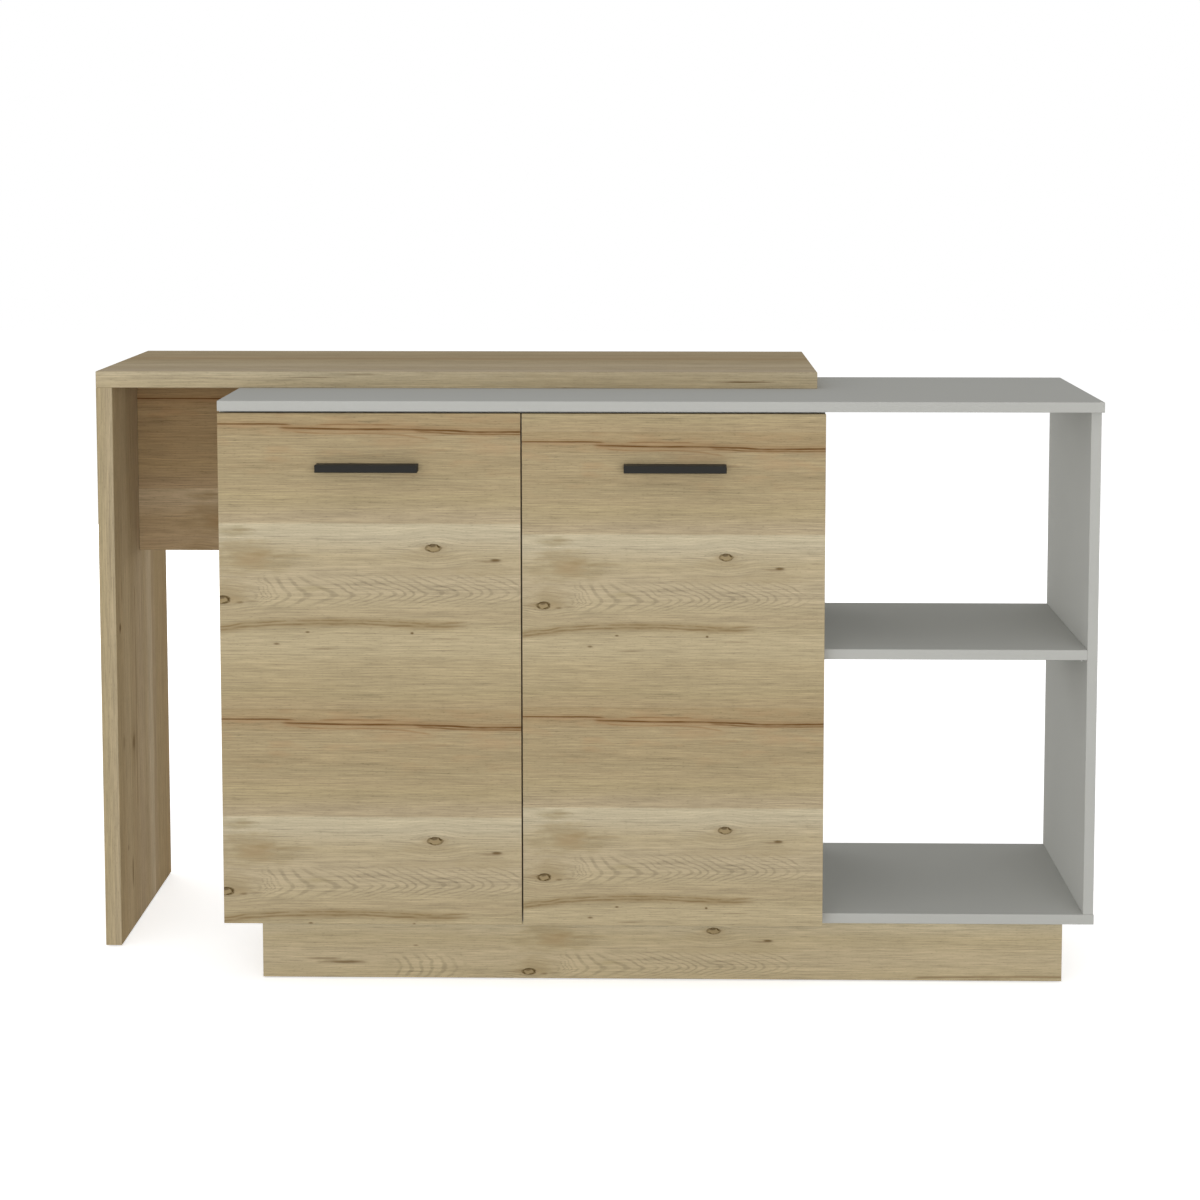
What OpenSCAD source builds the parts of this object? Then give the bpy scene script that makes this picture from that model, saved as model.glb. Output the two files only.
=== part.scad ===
// Kitchen island: a cupboard with two doors and an open shelf bay under a grey worktop, with a
// wood-look table that lies across the worktop and stands on a panel leg at its free end.
// Everything is drawn with X from the cabinet's left end, Y from the door fronts towards the back
// and Z from the floor, and then moved so that the origin is under the middle of the whole object.

/* [Cabinet] */
// Length of the grey worktop
cabinet_w = 1280; // [1200:10:1500]
// Depth of the grey worktop, front edge to back edge
cabinet_d = 360; // [330:5:450]
// Height of the grey worktop's upper face
cabinet_h = 875; // [800:5:950]
// Thickness of the grey boards and of the plinth boards
board_t = 15; // [15:1:18]
// Length of the part that the doors close
door_section_w = 880; // [760:10:960]
// Step between the right side panel and the worktop's end
end_inset = 1; // [0:0.5:4]
// Height of the open bay's shelf, floor to its upper face
bay_shelf_h = 510; // [450:5:620]
// Height of the shelf in the cupboard, floor to its upper face
cupboard_shelf_h = 460; // [400:5:560]
// How far the cupboard shelf stands back from the front of the carcass
shelf_setback = 20; // [10:5:60]
// Height of the rail under the worktop, behind the doors
rail_h = 60; // [50:5:90]
// Size of the bevel along the board edges
edge_bevel = 0.6; // [0.3:0.1:1.2]

/* [Back panel] */
// Thickness of the cupboard's back panel
back_t = 3; // [3:0.5:6]
// Depth of the grooves that hold the back panel
groove_depth = 6; // [4:0.5:7]
// Distance from the back edges of the boards to the back panel
back_inset = 12; // [10:1:20]
// Clearance between the back panel and its grooves, each side
groove_air = 0.2; // [0.1:0.1:0.4]

/* [Plinth] */
// Height of the plinth, floor to the bottom panel
plinth_h = 100; // [80:5:140]
// Distance from the door fronts to the plinth's face
plinth_setback = 50; // [40:5:80]
// Distance from the cabinet's back to the plinth's back face
plinth_back_setback = 50; // [40:5:90]
// Distance from the cabinet's left end to the plinth
plinth_inset_left = 48; // [30:2:80]
// Distance from the cabinet's right end to the plinth
plinth_inset_right = 40; // [30:2:80]
// Side of the corner blocks in the plinth
block_side = 22; // [20:1:26]
// Thickness of the plastic glides under the plinth and the leg
glide_t = 2; // [1.5:0.5:4]
// Radius of the plastic glides
glide_r = 6; // [5:0.5:7]

/* [Table] */
// Length of the tabletop
table_w = 1100; // [1000:10:1200]
// Depth of the tabletop
table_d = 360; // [320:10:450]
// Thickness of the tabletop and of the panel leg
table_t = 25; // [22:1:36]
// Overhang of the tabletop beyond the cabinet's left end
table_overhang = 220; // [180:10:350]
// Distance from the door fronts to the tabletop's front edge
table_setback = 180; // [120:5:200]
// Height of the apron between the leg and the cabinet
apron_h = 280; // [200:10:360]
// Length of each arm of the steel brackets under the tabletop
bracket_arm = 40; // [34:1:50]
// Width of the steel brackets
bracket_w = 24; // [20:1:30]
// Thickness of the steel brackets
bracket_t = 2; // [1.5:0.5:3]

/* [Doors] */
// Thickness of the doors
door_t = 15; // [15:1:18]
// Gap between the backs of the closed doors and the carcass
door_gap = 2.5; // [2.5:0.1:3]
// Gap between the two doors
door_seam = 2; // [2:0.5:4]
// Gap between the worktop and the doors
door_top_gap = 3; // [2:0.5:5]
// How far the doors stay above the underside of the bottom panel
door_bottom_step = 1; // [0:0.5:3]
// Thickness of air between a bumper and the carcass
bumper_air = 0.3; // [0.2:0.1:0.4]
// Radius of the bumpers
bumper_r = 4; // [3:0.5:5]

/* [Handles] */
// Length of the handle
handle_w = 148; // [138:5:218]
// Height of the handle's front lip
handle_h = 11; // [10:1:16]
// Thickness of the handle's lip and top
handle_wall = 2.5; // [2:0.5:4]
// How far the handle stands out from the door
handle_reach = 22; // [20:1:30]
// Width of the solid ends of the handle
handle_foot_w = 10; // [8:1:20]
// Distance from the door's top edge to the middle of the handle
handle_drop = 78; // [50:2:150]
// How far the handle sits from the middle of the door towards its hinges
handle_offset = 2; // [0:1:10]

/* [Hinges] */
// Distance from the ends of the door to the middle of its hinges
hinge_end = 95; // [80:5:120]
// Radius of the hinge cup
cup_r = 17.5; // [17:0.5:17.5]
// Depth of the hinge cup in the door
cup_depth = 11.5; // [11.5:0.1:12]
// Distance from the door's edge to the cup
cup_edge = 3; // [3:0.1:3.2]
// Thickness of the cup's wall
cup_wall = 0.6; // [0.5:0.1:0.6]
// Distance from the door's edge to the hinge pin
pin_inset = 6; // [5.9:0.1:6]
// Depth of the hinge pin under the door's back face
pin_depth = 8.5; // [8.5:0.1:8.7]
// Radius of the hinge pin
pin_r = 1.1; // [1:0.05:1.2]
// Running clearance round the hinge pin
pin_air = 0.05; // [0.03:0.01:0.08]
// Thickness of the hinge arm's steel
arm_t = 1.5; // [1.2:0.1:1.6]
// Length of the hinge arm inside the cupboard
arm_len = 62; // [58:1:70]
// Width of the hinge arm inside the cupboard
arm_w = 16; // [14:1:18]
// Thickness of the hinge's base plate
plate_t = 2; // [1.5:0.5:3]
// Distance from the front of the carcass to the base plate's screws
plate_line = 37; // [35:1:39]

/* [Fasteners] */
// Radius of the connector screws in the bottom panel
confirmat_r = 3.4; // [3:0.1:3.5]
// Length of the connector screws
confirmat_len = 50; // [45:5:60]
// Radius of the small wood screws
screw_r = 1.75; // [1.5:0.05:2]
// Radius of the wood screws that hold the tabletop
table_screw_r = 2; // [1.75:0.05:2.5]
// Radius of the wooden dowels
dowel_r = 4; // [3:0.5:4]
// Length of the wooden dowels
dowel_len = 30; // [26:1:35]
// Radius of the cam housings
cam_r = 7.5; // [6:0.5:7.5]
// Depth of the cam housings
cam_depth = 12; // [11:0.5:12.5]
// Distance from the joint to the middle of the cam
cam_drop = 34; // [24:1:36]
// Radius of the cam bolts
bolt_r = 3; // [2.5:0.25:3.5]
// Radius of the shelf pins
shelf_pin_r = 2.5; // [2:0.25:3]
// Clearance between a fastener and its hole
hole_air = 0.1; // [0.05:0.05:0.2]

/* [Hidden] */
$fn = 48;

// Directions in which a fastener's point can face
UP = [0, 0, 0];
RIGHT = [0, 90, 0];
LEFT = [0, -90, 0];
BACK = [-90, 0, 0];
FRONT = [90, 0, 0];

// The object's middle, which becomes the origin
table_x = -table_overhang;
table_back = table_setback + table_d;
middle_x = (table_x + cabinet_w) / 2;
middle_y = (table_back - handle_reach) / 2;

// Carcass
carcass_y = door_t + door_gap;
carcass_d = cabinet_d - carcass_y;
carcass_floor = plinth_h + board_t;
carcass_top = cabinet_h - board_t;
partition_x = door_section_w - board_t;
right_side_x = cabinet_w - end_inset - board_t;
back_y = cabinet_d - back_inset - back_t;
rail_z = carcass_top - rail_h;

// Table
leg_inner_x = table_x + table_t;
apron_y = cabinet_d - board_t;
apron_z = cabinet_h - apron_h;

// Plinth
plinth_y = plinth_setback;
plinth_inner_front = plinth_y + board_t;
plinth_inner_back = cabinet_d - plinth_back_setback - board_t;
plinth_x0 = plinth_inset_left;
plinth_x1 = cabinet_w - plinth_inset_right;
brace_x = (plinth_x0 + plinth_x1 - board_t) / 2;

// Doors
door_z0 = plinth_h + door_bottom_step;
door_z1 = carcass_top - door_top_gap;
door_w = (door_section_w - door_seam) / 2;
hinge_heights = [door_z0 + hinge_end, door_z1 - hinge_end];

// Screws: heads and how far they bite into a board
bite = 11;
screw_head_r = 3.4;
screw_head_h = 1.8;
confirmat_head_r = 5;
confirmat_head_h = 4;
table_screw_len = board_t + 20;
table_screw_head_r = 4;
table_screw_head_h = 2.5;
handle_screw_r = 2;
handle_screw_bite = 10;
plate_screw_spread = 16;
cup_screw_spread = 24;
cup_screw_line = 6;

// Cams and bolts
cam_cap_t = 0.8;
cam_cap_rim = 1;
bolt_neck_r = 1.5;
bolt_head_r = 2.6;
bolt_head_h = 2.5;
bolt_neck_len = 4;
cam_slot_w = 2 * bolt_r + 0.8;

// How far fasteners and fittings stay from the ends and edges of what they hold
connector_edge = 45;
table_screw_end = 90;
table_screw_front = 40;
table_screw_back = 35;
apron_dowel_end = 45;
leg_dowel_edge = 30;
apron_cam_low = 50;
apron_cam_high = 60;
bracket_front = 40;
bracket_back = 60;
plinth_glide_edge = 30;
leg_glide_edge = 40;

// Shelf pins
pin_bore = 7;
pin_reach = 8;
pin_plate_w = 10;
pin_plate_h = 10;
pin_plate_t = 1.2;
pin_row = [-2, -1, 0, 1, 2];
pin_row_pitch = 32;
shelf_air = 0.5;

// Hinge, seen from above with x from the door's edge inwards and y from the carcass front back
pin_y = -door_gap - pin_depth;
cup_x = cup_edge + cup_r;
cup_inner_r = cup_r - cup_wall;
flange_t = 1.2;
flange_rim = 2;
flange_start = 5;
ear_t = 1.8;
ear_air = 0.2;
eye_w = 7;
eye_r = 1.9;
tongue_h = 4;
tongue_w = 9;
plate_start = 20;
plate_len = 38;
wing_w = 12;
arm_start = 4;
arm_x = board_t + plate_t + tongue_h;
bend_r = 2;
arm_screw_line = 52;
arm_screw_r = 2;

function mid(a, b) = (a + b) / 2;

// Rows in depth: connectors near the front and the back of a carcass board
connector_rows = [carcass_y + connector_edge, back_y - connector_edge];
dowel_rows = [connector_rows[0], mid(carcass_y, back_y), connector_rows[1]];
side_middle = [board_t / 2, partition_x + board_t / 2, right_side_x + board_t / 2];

// Every fastener's place: a point and the direction of its tip
confirmat_places = [for (x = side_middle, y = connector_rows) [[x, y, plinth_h], UP]];
table_screw_places = [
    for (x = [table_screw_end, door_section_w / 2, door_section_w - table_screw_end])
        for (y = [table_setback + table_screw_front, back_y - table_screw_back])
            [[x, y, carcass_top], UP]
];
side_dowels = [for (y = dowel_rows) [[side_middle[2], y, carcass_top], UP]];
apron_dowels = [
    for (x = [leg_inner_x + apron_dowel_end, -apron_dowel_end])
        [[x, apron_y + board_t / 2, cabinet_h], UP]
];
leg_dowels = [
    for (y = [table_setback + leg_dowel_edge, mid(table_setback, table_back),
              table_back - leg_dowel_edge])
        [[table_x + table_t / 2, y, cabinet_h], UP]
];
// Cams: a point in the joint, the bolt's direction, and a turn that faces the cam
left_cams = [for (y = connector_rows) [[side_middle[0], y, carcass_top], UP, 90]];
partition_cams = [for (y = connector_rows) [[side_middle[1], y, carcass_top], UP, -90]];
apron_cam_heights = [apron_z + apron_cam_low, cabinet_h - apron_cam_high];
apron_leg_cams = [
    for (z = apron_cam_heights) [[leg_inner_x, apron_y + board_t / 2, z], LEFT, 180]
];
apron_side_cams = [for (z = apron_cam_heights) [[0, apron_y + board_t / 2, z], RIGHT, 180]];
rail_mid = [carcass_y + board_t / 2, rail_z + rail_h / 2];
rail_left_cam = [[[board_t, rail_mid[0], rail_mid[1]], LEFT, 180]];
rail_right_cam = [[[partition_x, rail_mid[0], rail_mid[1]], RIGHT, 180]];
cam_places = concat(left_cams, partition_cams, apron_leg_cams, apron_side_cams,
                    rail_left_cam, rail_right_cam);
// Corner blocks: the corner that touches two boards, and which way the block lies from it
block_places = [
    [plinth_x0 + board_t, plinth_inner_front, 1, 1],
    [plinth_x0 + board_t, plinth_inner_back, 1, -1],
    [plinth_x1 - board_t, plinth_inner_front, -1, 1],
    [plinth_x1 - board_t, plinth_inner_back, -1, -1],
    [brace_x, plinth_inner_front, -1, 1],
    [brace_x, plinth_inner_back, -1, -1]
];
bracket_rows = [apron_y + board_t + bracket_front, table_back - bracket_back];
pin_columns = [carcass_y + plate_line, back_y - connector_edge];
bay_pin_z = bay_shelf_h - board_t - shelf_pin_r;
cupboard_pin_z = cupboard_shelf_h - board_t - shelf_pin_r;

// ---- Shapes that repeat ----

module part_frame() {
    translate([-middle_x, -middle_y, 0]) children();
}

module at(place) {
    translate(place[0]) rotate(place[1]) rotate([0, 0, len(place) > 2 ? place[2] : 0]) children();
}

module at_each(places) {
    for (place = places) at(place) children();
}

module bevelled_outline(w, h) {
    b = edge_bevel;
    polygon([[b, 0], [w - b, 0], [w, b], [w, h - b], [w - b, h], [b, h], [0, h - b], [0, b]]);
}

// A board with a small bevel along its twelve edges
module board(corner, size) {
    translate(corner)
        intersection() {
            linear_extrude(size.z) bevelled_outline(size.x, size.y);
            translate([0, size.y, 0]) rotate([90, 0, 0])
                linear_extrude(size.y) bevelled_outline(size.x, size.z);
            rotate([90, 0, 90]) linear_extrude(size.x) bevelled_outline(size.y, size.z);
        }
}

// A screw whose head is sunk in the surface at z = 0
module sunk_screw(r, length, head_r, head_h, air = 0) {
    translate([0, 0, -air]) cylinder(r = r + air, h = length + 2 * air);
    translate([0, 0, -air]) cylinder(r1 = head_r + 2 * air, r2 = r + air, h = head_h + air);
}

// A screw whose round head lies on the surface at z = 0
module round_screw(r, length, head_r = screw_head_r, head_h = screw_head_h) {
    cylinder(r = r, h = length);
    translate([0, 0, -head_h])
        cylinder(r1 = head_r * 0.7, r2 = head_r, h = head_h * 0.6);
    translate([0, 0, -head_h * 0.4]) cylinder(r = head_r, h = head_h * 0.4);
}

module drill(r, length) {
    translate([0, 0, -hole_air]) cylinder(r = r + hole_air, h = length + 2 * hole_air);
}

module confirmat(air = 0) {
    sunk_screw(confirmat_r, confirmat_len, confirmat_head_r, confirmat_head_h, air);
}

module table_screw(air = 0) {
    sunk_screw(table_screw_r, table_screw_len, table_screw_head_r, table_screw_head_h, air);
}

module dowel(air = 0) {
    translate([0, 0, bite - dowel_len - air]) cylinder(r = dowel_r + air, h = dowel_len + 2 * air);
}

// The bolt is fixed in the board above z = 0 and reaches down to the middle of the cam
module cam_bolt() {
    head_z = -cam_drop - bolt_head_h / 2;
    cylinder(r = bolt_r, h = bite);
    translate([0, 0, -cam_drop + bolt_neck_len + bolt_head_h / 2])
        cylinder(r = bolt_r, h = cam_drop - bolt_neck_len - bolt_head_h / 2);
    translate([0, 0, head_z]) cylinder(r = bolt_neck_r, h = bolt_neck_len + bolt_head_h);
    translate([0, 0, head_z]) cylinder(r = bolt_head_r, h = bolt_head_h);
}

module cam_cut() {
    drill(bolt_r, bite);
    translate([0, 0, -cam_drop]) drill(bolt_r, cam_drop);
    translate([0, -board_t / 2 - hole_air, -cam_drop]) rotate([-90, 0, 0])
        cylinder(r = cam_r + hole_air, h = cam_depth + 2 * hole_air);
}

// A cam drum: a slot lets the bolt's head in, and a cross slot takes the screwdriver
module cam_housing() {
    face_y = -board_t / 2;
    slot_end = cam_r + 1;
    translate([0, 0, -cam_drop])
        difference() {
            translate([0, face_y, 0]) rotate([-90, 0, 0]) cylinder(r = cam_r, h = cam_depth);
            translate([-cam_slot_w / 2, -cam_slot_w / 2, -bolt_head_h])
                cube([cam_slot_w, cam_depth, slot_end + bolt_head_h]);
            for (turn = [0, 90])
                translate([0, face_y, 0]) rotate([0, turn, 0])
                    cube([cam_r, 3, 1.2], center = true);
        }
}

module cam_cap() {
    translate([0, -board_t / 2, -cam_drop]) rotate([90, 0, 0])
        cylinder(r1 = cam_r + cam_cap_rim, r2 = cam_r + cam_cap_rim - cam_cap_t / 2, h = cam_cap_t);
}

// A plastic glide with its nail
module glide(air = 0) {
    cylinder(r1 = glide_r - glide_t / 4, r2 = glide_r, h = glide_t);
    cylinder(r = 1 + air, h = glide_t + 12 + 2 * air);
}

// A shelf support, with +X upwards: its pin goes into the board along +Z, its back plate lies on
// the board, and a flat arm with a rib under it carries the shelf
module shelf_pin() {
    arm_under = shelf_pin_r - pin_plate_t;
    plate_foot = shelf_pin_r - pin_plate_h;
    cylinder(r = shelf_pin_r, h = pin_bore);
    translate([plate_foot, -pin_plate_w / 2, -pin_plate_t])
        cube([pin_plate_h, pin_plate_w, pin_plate_t]);
    translate([arm_under, -pin_plate_w / 2, -pin_reach])
        cube([pin_plate_t, pin_plate_w, pin_reach]);
    translate([0, pin_plate_t / 2, 0]) rotate([90, 0, 0])
        linear_extrude(pin_plate_t)
            polygon([[arm_under, -pin_reach + 1], [arm_under, -pin_plate_t],
                     [plate_foot + 1, -pin_plate_t]]);
}

module shelf_pin_hole() {
    drill(shelf_pin_r, pin_bore);
}

module groove(corner, size) {
    translate(corner) cube(size);
}

// ---- Pieces of the carcass ----

module top_panel() {
    part_frame() color([0.71, 0.71, 0.69])
        difference() {
            board([0, 0, carcass_top], [cabinet_w, cabinet_d, board_t]);
            back_groove_across(carcass_top);
            at_each(table_screw_places) table_screw(hole_air);
            at_each(side_dowels) dowel(hole_air);
            at_each(concat(left_cams, partition_cams)) cam_cut();
        }
}

module bottom_panel() {
    part_frame() color([0.71, 0.71, 0.69])
        difference() {
            board([0, carcass_y, plinth_h], [cabinet_w, carcass_d, board_t]);
            back_groove_across(carcass_floor - groove_depth);
            at_each(confirmat_places) confirmat(hole_air);
            plinth_block_drillings();
        }
}

module back_groove_across(z) {
    groove([board_t - groove_depth, back_y - groove_air, z],
           [partition_x - board_t + 2 * groove_depth, back_t + 2 * groove_air, groove_depth]);
}

module back_groove_up(x) {
    groove([x, back_y - groove_air, carcass_floor - 1],
           [groove_depth, back_t + 2 * groove_air, carcass_top - carcass_floor + 2]);
}

module upright(x) {
    board([x, carcass_y, carcass_floor], [board_t, carcass_d, carcass_top - carcass_floor]);
}

// Columns of holes that let the cupboard shelf be set at other heights
module shelf_pin_columns(x, direction) {
    for (y = pin_columns, step = pin_row)
        at([[x, y, cupboard_pin_z + step * pin_row_pitch], direction]) shelf_pin_hole();
}

module left_side_panel() {
    part_frame() color([0.71, 0.71, 0.69])
        difference() {
            upright(0);
            back_groove_up(board_t - groove_depth);
            shelf_pin_columns(board_t, LEFT);
            at_each([confirmat_places[0], confirmat_places[1]]) confirmat(hole_air);
            at_each(concat(left_cams, apron_side_cams, rail_left_cam)) cam_cut();
            left_hinges() hinge_plate_drillings();
        }
}

module partition_panel() {
    part_frame() color([0.71, 0.71, 0.69])
        difference() {
            upright(partition_x);
            back_groove_up(partition_x);
            shelf_pin_columns(partition_x, RIGHT);
            at_each([confirmat_places[2], confirmat_places[3]]) confirmat(hole_air);
            at_each(concat(partition_cams, rail_right_cam)) cam_cut();
            right_hinges() hinge_plate_drillings();
            for (y = pin_columns) at([[door_section_w, y, bay_pin_z], LEFT]) shelf_pin_hole();
        }
}

module right_side_panel() {
    part_frame() color([0.71, 0.71, 0.69])
        difference() {
            upright(right_side_x);
            at_each([confirmat_places[4], confirmat_places[5]]) confirmat(hole_air);
            at_each(side_dowels) dowel(hole_air);
            for (y = pin_columns) at([[right_side_x, y, bay_pin_z], RIGHT]) shelf_pin_hole();
        }
}

module bay_shelf() {
    part_frame() color([0.71, 0.71, 0.69])
        board([door_section_w, carcass_y, bay_shelf_h - board_t],
              [right_side_x - door_section_w, carcass_d, board_t]);
}

module cupboard_shelf() {
    part_frame() color([0.71, 0.71, 0.69])
        board([board_t + shelf_air, carcass_y + shelf_setback, cupboard_shelf_h - board_t],
              [partition_x - board_t - 2 * shelf_air,
               back_y - shelf_air - carcass_y - shelf_setback, board_t]);
}

module back_panel() {
    held = groove_depth - groove_air;
    part_frame() color([0.78, 0.78, 0.76])
        translate([board_t - held, back_y, carcass_floor - held])
            cube([partition_x - board_t + 2 * held, back_t, carcass_top - carcass_floor + 2 * held]);
}

module front_rail() {
    part_frame() color([0.71, 0.71, 0.69])
        difference() {
            board([board_t, carcass_y, rail_z], [partition_x - board_t, board_t, rail_h]);
            at_each(concat(rail_left_cam, rail_right_cam)) cam_cut();
        }
}

// ---- Plinth ----

module plinth_board_along(y) {
    difference() {
        board([plinth_x0, y, glide_t], [plinth_x1 - plinth_x0, board_t, plinth_h - glide_t]);
        plinth_block_drillings();
    }
}

module plinth_board_across(x) {
    difference() {
        board([x, plinth_inner_front, glide_t],
              [board_t, plinth_inner_back - plinth_inner_front, plinth_h - glide_t]);
        plinth_block_drillings();
        glide_spots() glide(hole_air);
    }
}

module plinth_front() {
    part_frame() color([0.72, 0.62, 0.46]) plinth_board_along(plinth_y);
}

module plinth_back() {
    part_frame() color([0.72, 0.62, 0.46]) plinth_board_along(plinth_inner_back);
}

module plinth_left_end() {
    part_frame() color([0.72, 0.62, 0.46]) plinth_board_across(plinth_x0);
}

module plinth_right_end() {
    part_frame() color([0.72, 0.62, 0.46]) plinth_board_across(plinth_x1 - board_t);
}

module plinth_brace() {
    part_frame() color([0.72, 0.62, 0.46]) plinth_board_across(brace_x);
}

module at_blocks() {
    for (place = block_places)
        translate([place[0], place[1], plinth_h - block_side])
            mirror([place[2] < 0 ? 1 : 0, 0, 0]) mirror([0, place[3] < 0 ? 1 : 0, 0]) children();
}

// Three screws in each block: one to each board it touches and one up into the bottom panel
module at_block_screws() {
    near = block_side * 0.3;
    far = block_side * 0.72;
    low = block_side * 0.25;
    high = block_side * 0.64;
    translate([block_side, near, low]) rotate(LEFT) children();
    translate([near, block_side, high]) rotate(FRONT) children();
    translate([far, far, 0]) children();
}

module plinth_block_drillings() {
    at_blocks() at_block_screws() drill(screw_r, block_side + bite);
}

module plinth_blocks() {
    part_frame() color([0.85, 0.85, 0.83])
        at_blocks()
            difference() {
                cube(block_side);
                at_block_screws() drill(screw_r, block_side + bite);
            }
}

module plinth_block_screws() {
    part_frame() color([0.7, 0.68, 0.6]) at_blocks() at_block_screws()
        round_screw(screw_r, block_side + bite);
}

// Glides stand under the boards that run from front to back
module glide_spots() {
    xs = [plinth_x0, brace_x, plinth_x1 - board_t];
    ys = [plinth_inner_front + plinth_glide_edge, plinth_inner_back - plinth_glide_edge];
    for (x = xs, y = ys) translate([x + board_t / 2, y, 0]) children();
}

module plinth_glides() {
    part_frame() color([0.2, 0.2, 0.2]) glide_spots() glide();
}

// ---- Table ----

module tabletop() {
    part_frame() color([0.72, 0.62, 0.46])
        difference() {
            board([table_x, table_setback, cabinet_h], [table_w, table_d, table_t]);
            at_each(table_screw_places) table_screw(hole_air);
            at_each(concat(apron_dowels, leg_dowels)) dowel(hole_air);
            bracket_drillings();
        }
}

module leg_panel() {
    part_frame() color([0.72, 0.62, 0.46])
        difference() {
            board([table_x, table_setback, glide_t], [table_t, table_d, cabinet_h - glide_t]);
            at_each(leg_dowels) dowel(hole_air);
            at_each(apron_leg_cams) cam_cut();
            bracket_drillings();
            leg_glide_spots() glide(hole_air);
        }
}

module leg_glide_spots() {
    for (y = [table_setback + leg_glide_edge, table_back - leg_glide_edge])
        translate([table_x + table_t / 2, y, 0]) children();
}

module leg_glides() {
    part_frame() color([0.2, 0.2, 0.2]) leg_glide_spots() glide();
}

module apron_panel() {
    part_frame() color([0.62, 0.52, 0.37])
        difference() {
            board([leg_inner_x, apron_y, apron_z], [-leg_inner_x, board_t, apron_h]);
            at_each(apron_dowels) dowel(hole_air);
            at_each(concat(apron_leg_cams, apron_side_cams)) cam_cut();
        }
}

module table_screws() {
    part_frame() color([0.7, 0.68, 0.6]) at_each(table_screw_places) table_screw();
}

// Brackets in the corner between the leg and the tabletop
module at_brackets() {
    for (y = bracket_rows) translate([leg_inner_x, y, cabinet_h]) children();
}

module at_bracket_screws() {
    for (along = [-0.25, 0.25]) {
        translate([bracket_t, along * bracket_w, -bracket_arm * 0.7]) rotate(LEFT) children();
        translate([bracket_arm * 0.7, along * bracket_w, -bracket_t]) children();
    }
}

module bracket_drillings() {
    at_brackets() at_bracket_screws() drill(screw_r, bracket_t + bite);
}

module angle_brackets() {
    part_frame() color([0.75, 0.75, 0.76])
        at_brackets()
            difference() {
                translate([0, bracket_w / 2, 0]) rotate([90, 0, 0]) linear_extrude(bracket_w)
                    polygon([[0, 0], [bracket_arm, 0], [bracket_arm, -bracket_t],
                             [3 * bracket_t, -bracket_t], [bracket_t, -3 * bracket_t],
                             [bracket_t, -bracket_arm], [0, -bracket_arm]]);
                at_bracket_screws() drill(screw_r, bracket_t + bite);
            }
}

module bracket_screws() {
    part_frame() color([0.7, 0.68, 0.6]) at_brackets() at_bracket_screws()
        round_screw(screw_r, bracket_t + bite);
}

// ---- Connectors ----

module dowels() {
    part_frame() color([0.8, 0.7, 0.5])
        at_each(concat(side_dowels, apron_dowels, leg_dowels)) dowel();
}

module cam_housings() {
    part_frame() color([0.72, 0.72, 0.72]) at_each(cam_places) cam_housing();
}

module cam_bolts() {
    part_frame() color([0.72, 0.72, 0.72]) at_each(cam_places) cam_bolt();
}

module cam_caps() {
    part_frame() color([0.7, 0.7, 0.68]) at_each(cam_places) cam_cap();
}

module confirmat_screws() {
    part_frame() color([0.7, 0.68, 0.6]) at_each(confirmat_places) confirmat();
}

module shelf_pins() {
    part_frame() color([0.75, 0.75, 0.76])
        for (y = pin_columns) {
            at([[board_t, y, cupboard_pin_z], LEFT]) shelf_pin();
            at([[partition_x, y, cupboard_pin_z], RIGHT, 180]) shelf_pin();
            at([[door_section_w, y, bay_pin_z], LEFT]) shelf_pin();
            at([[right_side_x, y, bay_pin_z], RIGHT, 180]) shelf_pin();
        }
}

// ---- Hinges ----
// Each is drawn once for the left door, with x from the door's outer edge inwards and y from the
// front of the carcass backwards, and mirrored for the right door.

module left_hinges() {
    for (z = hinge_heights) translate([0, carcass_y, z]) children();
}

module right_hinges() {
    for (z = hinge_heights) translate([door_section_w, carcass_y, z]) mirror([1, 0, 0]) children();
}

module all_hinges() {
    left_hinges() children();
    right_hinges() children();
}

module at_plate_screws() {
    for (side = [-1, 1])
        translate([board_t + plate_t, plate_line, side * plate_screw_spread]) rotate(LEFT) children();
}

module at_arm_screw() {
    translate([arm_x + arm_t, arm_screw_line, 0]) rotate(LEFT) children();
}

module hinge_plate_drillings() {
    at_plate_screws() drill(screw_r, plate_t + bite);
}

module hinge_plate() {
    difference() {
        union() {
            translate([board_t, plate_start, -tongue_w / 2 - 1])
                cube([plate_t, plate_len, tongue_w + 2]);
            translate([board_t, plate_start, -tongue_w / 2])
                cube([plate_t + tongue_h, plate_len, tongue_w]);
            translate([board_t, plate_line - wing_w / 2, -plate_screw_spread])
                cube([plate_t, wing_w, 2 * plate_screw_spread]);
            for (side = [-1, 1])
                translate([board_t, plate_line, side * plate_screw_spread]) rotate([0, 90, 0])
                    cylinder(r = wing_w / 2, h = plate_t);
        }
        hinge_plate_drillings();
        at_arm_screw() drill(arm_screw_r, arm_t + tongue_h);
    }
}

// A strip of steel: the eye round the pin, the neck that leaves the cup, and the channel that
// clips over the base plate
module hinge_arm() {
    neck_x = arm_x + arm_t - bend_r - arm_t;
    difference() {
        union() {
            translate([pin_inset, pin_y, -eye_w / 2]) cylinder(r = eye_r, h = eye_w);
            translate([pin_inset, pin_y - arm_t / 2, -eye_w / 2])
                cube([neck_x - pin_inset, arm_t, eye_w]);
            arm_bend(neck_x);
            translate([arm_x, pin_y + arm_t / 2 + bend_r, -eye_w / 2])
                cube([arm_t, arm_start - pin_y - arm_t / 2 - bend_r, eye_w]);
            arm_channel();
        }
        translate([pin_inset, pin_y, -eye_w]) cylinder(r = pin_r + pin_air, h = 2 * eye_w);
        at_arm_screw() drill(arm_screw_r, arm_t + 1);
    }
}

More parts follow.
